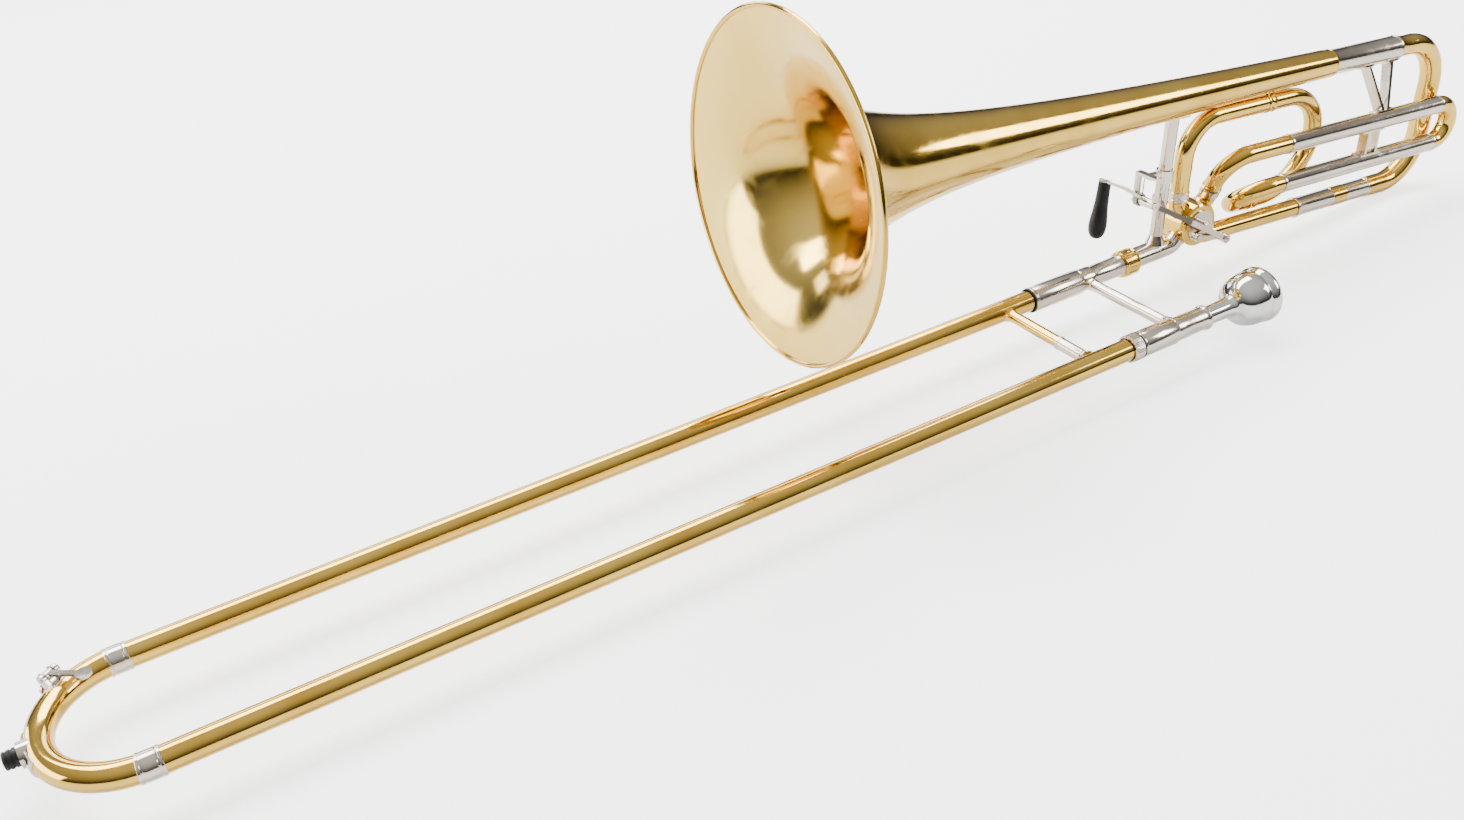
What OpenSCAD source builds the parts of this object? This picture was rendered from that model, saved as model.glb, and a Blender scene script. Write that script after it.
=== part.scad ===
// Tenor trombone in B flat and F with a rotary valve, slide closed and valve at rest.
// Millimetres. +X runs to the player's end, +Z to the bell, and the slide tubes lie in the XY plane.
// The origin is the middle of the inner slide brace, where the left hand holds the instrument.

/* [Hand slide] */
// Distance between the axes of the two slide tubes
slide_pitch = 91.5; // [80:0.5:100]
// Outside diameter of the outer slide tubes
outer_od = 15; // [13:0.1:18]
// Bore of the outer slide tubes
outer_id = 14.05; // [12:0.05:17]
// Outside diameter of the inner slide tubes above the stockings
inner_od = 13.4; // [12:0.05:16]
// Outside diameter of the stockings, the running surfaces at the tips
stocking_od = 13.95; // [12:0.05:16]
// Air bore of the slide
slide_bore = 12.7; // [11:0.1:15]
// Length of the outer slide tubes in front of the cork barrels
outer_length = 618; // [500:1:680]
// Straight part of the slide crook before its bend
crook_lead = 6; // [0:0.5:20]
// Distance of the outer brace in front of the barrels
outer_brace_x = -23.3; // [-60:0.1:0]
// Distance of the inner brace behind the barrel mouths
inner_brace_x = 49; // [30:0.5:70]

/* [Bell] */
// Radius of the bell at its rim
bell_radius = 107; // [90:0.5:130]
// Length of the bell from rim to tail
bell_length = 470; // [400:1:520]
// Width of the bell loop, gooseneck axis to bell axis
loop_width = 112.4; // [90:0.1:130]
// Tilt of the bell section against the hand slide, which lets the bell clear it
bell_tilt = 4.82; // [0:0.01:10]
// Axial size of the flare, small for a tighter curve
flare = 17.9; // [10:0.1:30]
// Wall thickness of the bell
bell_wall = 0.7; // [0.4:0.05:1.5]

/* [Valve and F tubing] */
// Radius of the rotor
rotor_radius = 14.6; // [12:0.1:20]
// Outside diameter of the F tubing
f_od = 13.2; // [12:0.1:16]
// Bore of the valve and the tubing round it
valve_bore = 12.2; // [10:0.1:15]
// Length of the stop arm and of the crank pin circle
stop_arm_radius = 12; // [8:0.5:16]

/* [Colours] */
// Lacquered yellow brass
brass = "#d9b45a";
// Nickel silver
nickel = "#c4bdae";
// Silver plate
silver = "#d8d8d6";
// Rubber and plastic
black = "#161616";
// Cork and felt
cork = "#6b4a2c";

/* [Hidden] */
$fn = 64;

pivot_x = 152;                       // the tilted loop crosses the slide axis here
rim_x = -205.4;                      // bell rim, in the loop's own axes
tail_x = rim_x + bell_length;        // 264.6
valve = [149, 0, 14.5];              // rotor axis, along Y
knee = 14.5;                         // rotor axis to the four knuckle corners, in X and in Z
port_reach = knee * sqrt(2) - 10 * tan(22.5); // and to the ends of the casing's four sockets
casing_radius = 16.2;
riser_z = 92.8;                      // F tubing under the bell stem
f_y = -18;                           // plane of the F tuning slide
f_high = 65;
f_low = 34.5;
back = [10, 12];                     // Y and Z of the F return tube behind the main tube
f_start = 219;
f_end = 388.7;
f_od_sleeve = 13.8;
low_start = 262.3;
sleeve_end = 345;
bow_x = 398.5;
hinge = [101, 39.7];                 // thumb lever hinge, X and Z
tip = [162, 6.5];                    // ball at the end of the thumb lever
pin_angle = -164;                    // stop arm at rest
pin = [valve.x + stop_arm_radius * cos(pin_angle), valve.z + stop_arm_radius * sin(pin_angle)];
bow_r = slide_pitch / 2;             // the crook is a half circle
crook_x = -outer_length - crook_lead;
key_angle = 51;                      // water key, round the crook from its tip
key_lean = 60;                       // its hinge, round the tube from its outer side
key_rise = 12.4;                     // and out from the middle of the tube

// The slide's axes: the far tube's barrel mouth is the zero point.
module slide_frame() translate([-inner_brace_x, slide_pitch / 2, 0]) children();

// The axes of the near slide tube, the one the mouthpiece goes into.
module near_frame() slide_frame() translate([0, -slide_pitch, 0]) children();

// The bell loop's axes, tilted about the point where the loop meets the slide axis.
module loop_frame() slide_frame() translate([pivot_x, 0, 0]) rotate([0, bell_tilt, 0])
    translate([-pivot_x, 0, 0]) children();

// Turns +X to the direction d.
module aim(d) rotate([0, -asin(d.z), atan2(d.y, d.x)]) children();

module ring(od, id) difference() {
    circle(d = od);
    circle(d = id);
}

// A straight tube along X.
module tube(x0, x1, od, id) translate([x0, 0, 0]) rotate([0, 90, 0])
    linear_extrude(x1 - x0) ring(od, id);

// A round bar along X.
module rod(x0, x1, d) translate([x0, 0, 0]) rotate([0, 90, 0]) cylinder(d = d, h = x1 - x0);

// A round bar along Y.
module pin_y(y0, y1, r) translate([0, y0, 0]) rotate([-90, 0, 0]) cylinder(r = r, h = y1 - y0);

// A solid turned about the X axis from [x, radius] points.
module turned(points) rotate([0, 90, 0]) rotate_extrude()
    polygon([for (p = points) [p[1], p[0]]]);

// A bend that starts along +X and curves towards +Z.
module elbow(radius, angle, od, id) translate([0, 0, radius]) rotate([90, 90, 0])
    rotate_extrude(angle = angle) translate([radius, 0]) ring(od, id);

function unit(v) = v / norm(v);
function heading(p, i) = unit(p[i + 1] - p[i]);
function turn(p, i) = round(1000 * acos(heading(p, i - 1) * heading(p, i))) / 1000;
function trim(p, r, i) = i == 0 || i == len(p) - 1 ? 0 : r[i] * tan(turn(p, i) / 2);
function side(d) = [-sin(atan2(d.y, d.x)), cos(atan2(d.y, d.x)), 0];
function bend_axis(p, i) = i == 0 ? side(heading(p, 0))
    : unit(cross(heading(p, i), heading(p, i - 1)));
function roll(p, i) = let (a = bend_axis(p, i - 1), b = bend_axis(p, i))
    round(1000 * atan2(cross(a, b) * heading(p, i - 1), a * b)) / 1000;

// A tube through corner points p, with bend radius r[i] at corner i.
module pipe(p, r, od, id) translate(p[0]) aim(heading(p, 0)) pipe_leg(p, r, od, id, 0);

// A hairline collar where a leg meets a bend, so that the two are one solid.
module seam(od, id) tube(-0.4, 0.4, od + 0.06, id - 0.06);

// Leg i of a pipe, turned to face the next bend, then the bend and the rest of the pipe.
module pipe_leg(p, r, od, id, i) {
    length = norm(p[i + 1] - p[i]) - trim(p, r, i) - trim(p, r, i + 1);
    first = i == 0;
    last = i == len(p) - 2;
    rotate([last ? 0 : roll(p, i + 1), 0, 0]) {
        if (length > 0.02) {
            tube(first ? 0 : 0.01, last ? length : length - 0.01, od, id);
            if (!first) seam(od, id);
            if (!last) translate([length, 0, 0]) seam(od, id);
        }
        if (!last) translate([length, 0, 0]) {
            elbow(r[i + 1], turn(p, i + 1), od, id);
            translate([0, 0, r[i + 1]]) rotate([0, -turn(p, i + 1), 0])
                translate([0, 0, -r[i + 1]]) pipe_leg(p, r, od, id, i + 1);
        }
    }
}

// A curved foot under a brace: part of a sleeve round a tube along X, on its +Z side.
module foot(x0, x1, d, thickness, width) intersection() {
    tube(x0, x1, d + 2 * thickness, d);
    translate([x0 - 1, -width / 2, 0]) cube([x1 - x0 + 2, width, d]);
}

// ---- hand slide, held half ----

module inner_tube() {
    tube(-590, 43.9, inner_od, slide_bore);
    tube(-600, -505, stocking_od, slide_bore);
}

module inner_tube_far() color(silver) slide_frame() inner_tube();
module inner_tube_near() color(silver) near_frame() inner_tube();

module cork_barrel_far() color(nickel) slide_frame() {
    difference() {
        turned([[0, 8.7], [0.6, 9], [43, 9], [44, 8.4], [44, 6.72], [20, 6.72], [20, 8], [0, 8]]);
    }
}

// The nose in front carries the slide lock ring, and its slot lets the lock stud through.
module cork_barrel_near() color(nickel) near_frame() difference() {
    turned([[5.6, 8.5], [13.4, 8.5], [13.4, 9], [43, 9], [44, 8.4], [44, 6.72], [20, 6.72],
        [20, 8], [5.6, 8]]);
    rotate([150, 0, 0]) translate([5, -2.4, 7.5]) cube([6, 4.8, 2]);
}

module barrel_corks() color(cork) {
    slide_frame() tube(16.1, 20, 15.9, 13.5);
    near_frame() tube(16.1, 20, 15.9, 13.5);
}

// Black rings, in front of the far barrel and between the near barrel and the lock ring.
module barrel_bumpers() color(black) {
    slide_frame() tube(-1.1, -0.02, 17.7, 16.1);
    near_frame() tube(12.86, 13.38, 18.5, 17.04);
}

// The threaded collar at its end takes the bell lock nut.
module bell_receiver() color(nickel) slide_frame()
    turned([[44, 8.2], [54.5, 8.2], [55.5, 7.6], [80, 7.6], [82, 8], [88.5, 8], [88.5, 6.9],
        [60, 6.9], [60, 6.35], [44, 6.35]]);

module mouthpiece_receiver() color(nickel) near_frame()
    turned([[44, 8.2], [70.4, 7.8], [70.8, 8.7], [73.4, 8.7], [73.8, 8], [74, 6.45],
        [44, 5.7]]);

module inner_brace() color(nickel) slide_frame() difference() {
    translate([inner_brace_x, 0, 0]) {
        pin_y(-slide_pitch + 8.3, -8.3, 4);
        pin_y(-slide_pitch + 7.9, -slide_pitch + 12, 5.2);
        pin_y(-12, -7.9, 5.2);
    }
    rod(40, 60, 16.5);
    translate([0, -slide_pitch, 0]) rod(40, 60, 16.5);
}

// ---- bell loop ----

function bell_r(s) = bell_radius * pow(1 + s / flare, -0.7);
function bell_slope(s) = -0.7 * bell_radius / flare * pow(1 + s / flare, -1.7);
function bell_skin(s, t) = let (m = bell_slope(s), k = sqrt(1 + m * m))
    [rim_x + s + t * m / k, bell_r(s) - t / k];
bell_steps = 40;
function bell_s(i) = bell_length * pow(i / bell_steps, 2.4);

module bell() color(brass) loop_frame() translate([0, 0, loop_width]) difference() {
    turned(concat([for (i = [0 : bell_steps]) bell_skin(bell_s(i), 0)],
        [for (i = [bell_steps : -1 : 0]) bell_skin(bell_s(i), bell_wall)]));
    rim_ring(3.24);
}

module rim_ring(d) translate([rim_x - 0.9, 0, 0]) rotate([0, 90, 0]) rotate_extrude()
    translate([bell_radius + 0.9, 0]) circle(d = d);

// The edge is rolled round a wire.
module bell_rim() color(brass) loop_frame() translate([0, 0, loop_width]) rim_ring(3.2);

module bell_ferrule() color(brass) loop_frame() translate([0, 0, loop_width])
    turned([[tail_x + 0.02, 10.6], [270.8, 10.5], [272.4, 10.2], [272.4, 9.43],
        [tail_x + 0.02, 9.43]]);

module main_upper_sleeve() color(nickel) loop_frame() translate([0, 0, loop_width])
    turned([[tail_x + 1, 9.4], [343, 9.4], [343, 9.7], [sleeve_end - 0.3, 9.7],
        [sleeve_end - 0.3, 8.85], [tail_x + 1, 8.85]]);

module main_lower_sleeve() color(nickel) loop_frame()
    turned([[low_start, 7.9], [low_start + 2, 7.9], [low_start + 2, 7.3], [343, 7.3],
        [343, 7.6], [sleeve_end - 0.3, 7.6], [sleeve_end - 0.3, 6.75], [low_start + 8, 6.75],
        [low_start + 8, 6.83], [low_start, 6.83]]);

// The brass tube from the valve to the tuning slide's lower sleeve.
module main_lower_tube() color(brass) loop_frame()
    pipe([valve + port_reach * [cos(-45), 0, sin(-45)], [valve.x + knee, 0, 0],
        [low_start + 7.5, 0, 0]], [0, 10, 0], 13.6, valve_bore);

// Where the slide axis starts in the loop's axes, and where the gooseneck's knuckle turns.
goose_from = [pivot_x + (62 - pivot_x) * cos(bell_tilt), 0, (62 - pivot_x) * sin(bell_tilt)];
goose_reach = (valve.z + (pivot_x - valve.x) * tan(bell_tilt)) / (1 - tan(bell_tilt));

module gooseneck() color(nickel) {
    loop_frame() pipe([goose_from, [valve.x - goose_reach, 0, valve.z - goose_reach],
        valve + port_reach * [cos(225), 0, sin(225)]], [0, 10, 0], 13.6, valve_bore);
    slide_frame() tube(89, 90.6, 15.4, 13.4);
}

module bell_lock_nut() color(brass) slide_frame() difference() {
    turned([[82.6, 8.8], [83.4, 9.6], [84.6, 9.6], [85, 9.1], [94, 9.1], [94.4, 9.6],
        [95.4, 9.6], [96.2, 8.4], [96.2, 6.88], [91, 6.88], [91, 8.1], [82.6, 8.1]]);
    for (a = [0 : 30 : 330]) rotate([a, 0, 0]) translate([85.4, -0.5, 8.85])
        cube([8.2, 1, 1]);
}

// The tube between gooseneck and bell stem, with a curved foot on each.
module bell_brace() color(nickel) difference() {
    union() {
        loop_frame() {
            translate([117, 0, 2]) cylinder(d = 9.5, h = 98);
            translate([117, 0, 0]) translate([0, 0, 4]) cylinder(d1 = 14, d2 = 9.5, h = 7);
            translate([117, 0, loop_width]) rotate([180, 0, 0]) rod(-11, 11, 29.4);
        }
        slide_frame() foot(96.8, 127, 13.7, 1.6, 9);
    }
    loop_frame() translate([0, 0, loop_width]) turned([for (i = [0 : 12]) [100 + 3 * i,
        bell_r(100 + 3 * i - rim_x) + 0.02], [136, 0], [100, 0]]);
    loop_frame() translate([90, -30, loop_width - 9]) cube([60, 60, 40]);
    loop_frame() for (y = [-30, 6]) translate([90, y, 60]) cube([60, 24, 60]);
    slide_frame() rod(80, 140, 13.7);
}

// ---- rotary valve ----

// The casing is closed in front, with a bearing for the rotor's spindle, and open at the back.
module valve_casing() color(brass) loop_frame() translate(valve) difference() {
    union() {
        pin_y(-9.6, 12.5, casing_radius);
        translate([0, -10.8, 0]) rotate([-90, 0, 0]) cylinder(r1 = 15, r2 = casing_radius, h = 1.2);
        for (a = [45, 135, 225, 315]) rotate([0, -a, 0]) rod(10, port_reach - 0.02, 14.8);
    }
    pin_y(-8.95, 13, rotor_radius + 0.05);
    pin_y(-12, -8, 3.05);
    for (a = [45, 135, 225, 315]) rotate([0, -a, 0]) rod(8, 20, 11.2);
}

module rotor() color(brass) loop_frame() translate(valve) {
    difference() {
        pin_y(-8.9, 12.4, rotor_radius);
        for (a = [0, 180]) rotate([0, a, 0]) translate([0, 0, rotor_radius * sqrt(2)])
            rotate([90, 0, 0]) rotate_extrude() translate([rotor_radius, 0]) circle(d = 11.2);
    }
    pin_y(-16.8, -8.8, 3);
}

// The stop plate, which carries the two stops.
module valve_plate() color(nickel) loop_frame() translate(valve) difference() {
    union() {
        pin_y(-11.9, -10.82, 11.6);
        pin_y(-16.2, -11.8, 4.6);
    }
    pin_y(-17, -10, 3.05);
}

module valve_cap() color(brass) loop_frame() translate(valve) rotate([0, 0, 90])
    turned([[12.52, 17.2], [16, 17.2], [17, 16.2], [17.4, 7], [18.4, 6], [18.4, 0], [14.4, 0],
        [14.4, 15], [12.52, 15]]);

// Two stops, one past each end of the stop arm's quarter turn.
module stop_corks() color(cork) loop_frame() translate(valve)
    for (a = [pin_angle - 33, pin_angle + 123]) rotate([0, -a, 0])
        translate([9, 0, 0]) pin_y(-19.7, -11.92, 2.3);

// Nickel rings on the two F branches, just above their knuckles.
module port_ferrules() color(nickel) loop_frame() {
    translate([valve.x - knee, 0, 34]) linear_extrude(7) ring(14.9, f_od + 0.04);
    translate(valve + [knee, 0, knee]) aim(unit(feed_turn - valve - [knee, 0, knee]))
        tube(6.5, 13.5, 14.9, f_od + 0.04);
}

module f_riser_tube() color(brass) loop_frame()
    pipe([valve + port_reach * [cos(135), 0, sin(135)], valve + [-knee, 0, knee],
        [valve.x - knee, 0, riser_z], [212, 0, riser_z]], [0, 10, 27, 0], f_od, valve_bore);

module f_wrap_ferrule() color(brass) loop_frame() translate([0, 0, riser_z])
    turned([[208, 6.9], [208.5, 7.3], [215.5, 7.3], [216, 6.9], [216, 6.62], [208, 6.62]]);

module f_wrap_bow() color(brass) loop_frame() {
    width = norm([back.x, riser_z - back.y]);
    x = 233.5 + width / 2;
    pipe([[212.1, 0, riser_z], [x, 0, riser_z], [x, back.x, back.y], [222, back.x, back.y]],
        [0, width / 2, width / 2, 0], f_od, valve_bore);
}

// The small bow at the player's left, from the return tube to the F slide's lower sleeve.
module f_back_bow() color(brass) loop_frame() {
    width = norm([back.x - f_y, back.y - f_low]);
    x = 211 - width / 2;
    pipe([[221.9, back.x, back.y], [x, back.x, back.y], [x, f_y, f_low],
        [f_start + 5, f_y, f_low]], [0, width / 2, width / 2, 0], f_od, valve_bore);
    translate([0, back.x, back.y]) tube(218, 226, 14.4, f_od + 0.04);
}

// From the fourth socket the tube leans out to the plane of the F slide.
feed_corner = valve + [knee, 0, knee];
feed_turn = [157, f_y, f_high];
feed_joint = feed_corner + 8 * unit(feed_turn - feed_corner);
feed_lean = acos(unit([1, 0, 1]) * unit(feed_turn - feed_corner));

module f_feed_knuckle() color(brass) loop_frame()
    pipe([valve + port_reach * [cos(45), 0, sin(45)], feed_corner, feed_joint],
        [0, 10 * tan(22.5) / tan(feed_lean / 2), 0], f_od, valve_bore);

module f_feed_tube() color(brass) loop_frame()
    pipe([feed_joint, feed_turn, [f_start + 5, f_y, f_high]], [0, 20, 0], f_od, valve_bore);

module f_sleeve() turned([[f_start, 7.3], [f_start + 2, 7.3], [f_start + 2, 6.9],
    [f_end - 2, 6.9], [f_end - 2, 7.2], [f_end, 7.2], [f_end, 6.35], [f_start + 6, 6.35],
    [f_start + 6, 6.62], [f_start, 6.62]]);

module f_upper_sleeve() color(nickel) loop_frame() translate([0, f_y, f_high]) f_sleeve();
module f_lower_sleeve() color(nickel) loop_frame() translate([0, f_y, f_low]) f_sleeve();

// A bent strip from the F slide's upper sleeve to two feet under the main sleeve.
v_lean = atan2(-f_y, loop_width - f_high);
v_height = norm([f_y, loop_width - f_high]);
module v_brace() color(nickel) loop_frame() translate([0, f_y, f_high]) rotate([-v_lean, 0, 0])
    difference() {
        union() {
            translate([0, 4, 0]) rotate([90, 0, 0]) linear_extrude(8) {
                polygon([[320.4, 6], [323.2, 6], [312.6, v_height - 8], [310.6, v_height - 8]]);
                polygon([[325, 6], [327.8, 6], [338.8, v_height - 8], [335.8, v_height - 8]]);
            }
            foot(315, 333, 13.84, 1, 9);
            translate([0, 0, v_height]) rotate([180, 0, 0]) {
                foot(306, 316, 18.84, 1, 9);
                foot(332, 343, 18.84, 1, 9);
            }
        }
        rod(300, 350, 13.84);
        translate([0, 0, v_height]) rod(300, 350, 18.84);
    }

module f_sleeve_brace() color(nickel) loop_frame() translate([0, f_y, f_low]) difference() {
    union() {
        for (x = [306, 317.4]) translate([x, -4, 6]) cube([2.2, 8, f_high - f_low - 12]);
        foot(302, 323, 13.84, 1, 9);
        translate([0, 0, f_high - f_low]) rotate([180, 0, 0]) foot(302, 323, 13.84, 1, 9);
    }
    rod(300, 330, 13.84);
    translate([0, 0, f_high - f_low]) rod(300, 330, 13.84);
}

// ---- thumb lever and linkage ----

module lever_bracket() color(nickel) loop_frame() difference() {
    union() {
        for (y = [-10, 8.2]) translate([0, y, 0]) {
            translate([hinge.x, 0, hinge.y]) pin_y(0, 1.8, 3.4);
            translate([hinge.x - 2.6, 0, hinge.y]) cube([5.2, 1.8, 20.3]);
        }
        translate([hinge.x - 2.6, -10, 58]) cube([5.2, 20, 2]);
        translate([hinge.x, -2.5, 56]) cube([12, 5, 4]);
        translate([117, 0, 52]) cylinder(r = 6.4, h = 9);
    }
    translate([117, 0, 40]) cylinder(d = 9.54, h = 40);
    translate([hinge.x, 0, hinge.y]) pin_y(-12, 12, 1.52);
}

module lever_axle() color(nickel) loop_frame() translate([hinge.x, 0, hinge.y]) difference() {
    union() {
        pin_y(-10.1, 10.6, 1.5);
        pin_y(-11.6, -10.02, 2.7);
    }
    translate([-3, -12, -0.35]) cube([6, 1.1, 0.7]);
}

module lever_spring() color(silver) loop_frame() translate([hinge.x, 0, hinge.y]) {
    for (y = [4.4 : 1 : 7.4]) translate([0, y, 0]) rotate([90, 0, 0]) rotate_extrude()
        translate([4.35, 0]) circle(d = 1.04);
    translate([4.35, 7.4, 0]) cylinder(d = 0.9, h = 14);
    translate([4.35, 7.4, 14]) sphere(d = 0.9);
}

// The straight part of the lever lies in front of the valve, outside the link.
lever_angle = atan2(tip.y - hinge.y, tip.x - hinge.x);
lever_reach = norm(tip - hinge);
module bar_xz(length, y0, y1, width) translate([0, y0, -width / 2]) cube([length, y1 - y0, width]);

module thumb_lever() color(nickel) loop_frame() difference() {
    union() {
        translate([hinge.x, 0, hinge.y]) {
            pin_y(-8, 7.9, 3.4);
            translate([0, -4, 0]) rotate([0, -146, 0]) translate([0, 0, -1]) cube([28, 7, 2]);
            rotate([0, -lever_angle, 0]) {
                bar_xz(9, -7.9, -6.1, 5);
                translate([8, -7, 0]) rotate([0, 0, -45]) translate([-0.5, -1, -1.9])
                    cube([26.6, 2, 3.8]);
                translate([25.4, 0, 0]) bar_xz(lever_reach - 25.4, -26, -24, 4);
            }
        }
        translate([tip.x, 0, tip.y]) {
            pin_y(-26.6, -23.4, 3.4);
            pin_y(-23.5, -19.4, 1.5);
            translate([0, -26.4, 0]) sphere(r = 2.4);
        }
        translate([80.4, -4.1, 53.6]) rotate([0, -154, 0]) translate([-1.4, 0, -0.95]) cube([26, 8.7, 1.9]);
    }
    translate([hinge.x, 0, hinge.y]) pin_y(-12, 12, 1.55);
}

// A pear-shaped pad that hangs from the lever's thumb end.
module thumb_pad() color(black) loop_frame() difference() {
    translate([59.8, 0.3, 64.2]) rotate([0, 176, 0]) rotate_extrude()
        polygon([[0, 0], [4.2, 0], [4.5, 10], [4.9, 18], [5.7, 26], [6.3, 32], [6.3, 35],
            [5.7, 38.4], [4.3, 41], [2.4, 42.4], [0, 42.8]]);
    translate([80.4, -10, 53.6]) rotate([0, -154, 0]) translate([0, 0, -20]) cube([40, 20, 21.02]);
}

module stop_arm() color(nickel) loop_frame() difference() {
    union() {
        translate(valve) {
            pin_y(-19.4, -16.9, 5);
            rotate([0, -pin_angle, 0]) translate([0, -19.3, -2.4]) cube([stop_arm_radius, 2.3, 4.8]);
        }
        translate([pin.x, 0, pin.y]) pin_y(-19.4, -16.9, 3);
    }
    translate(valve) translate([-3.6, -19.8, -0.4]) cube([7.2, 0.9, 0.8]);
}

module link_rod() color(nickel) loop_frame() {
    reach = norm(tip - pin);
    translate([pin.x, 0, pin.y]) rotate([0, -atan2(tip.y - pin.y, tip.x - pin.x), 0]) difference() {
        union() {
            for (x = [0, reach]) translate([x, 0, 0]) pin_y(-22.2, -20, 3.1);
            translate([1, 0, 0]) bar_xz(reach - 2, -22.2, -20, 3);
            pin_y(-23, -22.1, 2.2);
        }
        translate([reach, 0, 0]) pin_y(-23, -19, 1.56);
    }
}

// ---- tuning slides ----

module main_bow() color(brass) loop_frame() {
    pipe([[352, 0, 0], [bow_x, 0, 0], [bow_x, 0, loop_width], [352, 0, loop_width]],
        [0, 36, 36, 0], 16, 14.8);
    turned([[sleeve_end, 7.6], [352, 8], [352, 7.4], [sleeve_end, 6.2]]);
    translate([0, 0, loop_width]) turned([[sleeve_end, 9.7], [352, 8], [352, 7.4],
        [sleeve_end, 8.2]]);
}

module main_legs() color(nickel) loop_frame() {
    tube(276, sleeve_end, 13.4, 12.4);
    translate([0, 0, loop_width]) tube(276, sleeve_end, 17.6, 16.4);
}

module f_bow() color(brass) loop_frame() {
    r = (f_high - f_low) / 2;
    x = f_end + 1.6 + r;
    pipe([[f_end + 0.3, f_y, f_high], [x, f_y, f_high], [x, f_y, f_low], [f_end + 0.3, f_y, f_low]],
        [0, r, r, 0], 13.4, 11.8);
}

module f_legs() color(nickel) loop_frame() for (z = [f_low, f_high]) translate([0, f_y, z])
    tube(262, f_end + 0.3, 12.6, 11.8);

// ---- mouthpiece and slide lock ----

module mouthpiece() color(silver) near_frame()
    turned([[52, 5.82], [74.3, 6.38], [94, 6.9], [97, 7.8], [98.6, 10.6], [101, 13.8], [105, 16.4],
        [109, 17.7], [113, 18.4], [117, 18.6], [120, 18.3], [122, 19.3], [124.5, 19.6], [127, 19],
        [128.4, 17.6], [128.7, 15.6], [128, 13.6], [126, 12.6], [118, 11.8], [110, 9.2], [106, 6], [104, 3.4], [102, 3.2],
        [98, 3.6], [52, 5.2]]);

// A lip at its front holds the stud of the outer slide once the ring is turned.
module slide_lock_ring() color(nickel) near_frame() difference() {
    turned([[4.2, 9.2], [12.8, 9.2], [12.8, 8.55], [5.5, 8.55], [5.5, 8.05], [4.2, 8.05]]);
    rotate([150, 0, 0]) translate([4, -2.8, 7.5]) cube([5, 5.6, 3]);
}

// ---- hand slide, moving half ----

module outer_tube() tube(-outer_length - 3, 15.6, outer_od, outer_id);

module outer_tube_far() color(brass) slide_frame() outer_tube();
module outer_tube_near() color(brass) near_frame() {
    outer_tube();
    rotate([150, 0, 0]) translate([6.6, -1.8, 7.2]) cube([3, 3.6, 1.1]);
}

// Each joins an outer tube to the crook and follows the start of the bend.
module slide_ferrules() color(nickel) slide_frame() {
    for (m = [0, 1]) translate([0, -m * slide_pitch, 0]) mirror([0, m, 0]) {
        tube(crook_x, -outer_length, 16.4, 15.04);
        translate([crook_x, 0, 0]) rotate([0, 0, 180]) rotate([-90, 0, 0])
            elbow(bow_r, 7.5, 16.4, 15.04);
    }
}

module crook() color(brass) slide_frame() {
    start = -outer_length - 3.1;
    x = crook_x - bow_r;
    pipe([[start, 0, 0], [x, 0, 0], [x, -slide_pitch, 0], [start, -slide_pitch, 0]],
        [0, bow_r, bow_r, 0], outer_od, outer_id);
}

// The round of the crook, solid, to cut what is soldered on to it.
module crook_round() rotate_extrude() translate([bow_r, 0]) circle(d = outer_od + 0.02);

module bumper_seat() color(nickel) slide_frame() translate([crook_x, -bow_r, 0]) difference() {
    union() {
        rod(-bow_r - 9.4, -bow_r - 3, 14);
        intersection() {
            rotate_extrude() translate([bow_r, 0]) circle(d = outer_od + 1.6);
            translate([-bow_r - 10, -16, -5]) cube([10, 26, 10]);
        }
    }
    crook_round();
}

module bumper() color(black) slide_frame() translate([crook_x - bow_r, -bow_r, 0])
    turned([[-9.42, 0], [-9.42, 5.2], [-16.4, 5], [-17, 4.4], [-17, 0]]);

module outer_brace() color(brass) slide_frame() difference() {
    translate([outer_brace_x, 0, 0]) {
        pin_y(-58, -7.4, 4.1);
        pin_y(-11.5, -7.4, 5.2);
    }
    rod(-40, 0, 15.02);
}

// The nickel end of the brace fits over the brass tube.
module outer_brace_sleeve() color(nickel) slide_frame() difference() {
    translate([outer_brace_x, 0, 0]) {
        pin_y(-slide_pitch + 7.4, -58.02, 4.5);
        pin_y(-slide_pitch + 7.4, -slide_pitch + 11, 5.3);
    }
    translate([0, -slide_pitch, 0]) rod(-40, 0, 15.02);
}

// ---- water key ----

// Its axes: +X out from the crook's centre, +Y along the crook to the far tube.
module key_frame() slide_frame() translate([crook_x, -bow_r, 0]) rotate([0, 0, 180 - key_angle])
    mirror([0, 1, 0]) children();

// The hinge's own axes: +X out from the middle of the tube through the hinge.
module key_side() translate([bow_r, 0, 0]) rotate([0, -key_lean, 0]) children();

corner_out = bow_r + outer_od / 2;
key_pin = [bow_r + key_rise * cos(key_lean), 0, key_rise * sin(key_lean)];

// Two ears for the screw and the drain nipple the cork closes.
module water_key_saddle() color(nickel) key_frame() difference() {
    union() {
        key_side() for (y = [-5, 3.4]) {
            translate([5, y, -2.9]) cube([key_rise - 5, 1.6, 5.8]);
            translate([key_rise, y, 0]) rotate([-90, 0, 0]) cylinder(r = 3.1, h = 1.6);
        }
        intersection() {
            rotate_extrude() translate([bow_r, 0]) circle(d = outer_od + 1.4);
            key_side() translate([4, -5.6, -4.6]) cube([8, 11.2, 9.2]);
        }
        translate([corner_out - 4, 0, 0]) rotate([0, 90, 0]) cylinder(r = 3.4, h = 4.95);
    }
    crook_round();
    translate([corner_out - 6, 0, 0]) rotate([0, 90, 0]) cylinder(r = 1.6, h = 12);
    translate(key_pin) pin_y(-8, 8, 1.22);
}

module water_key_screw() color(silver) key_frame() translate(key_pin) {
    pin_y(-5.2, 5.2, 1.2);
    pin_y(5.02, 6.3, 2.3);
}

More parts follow.
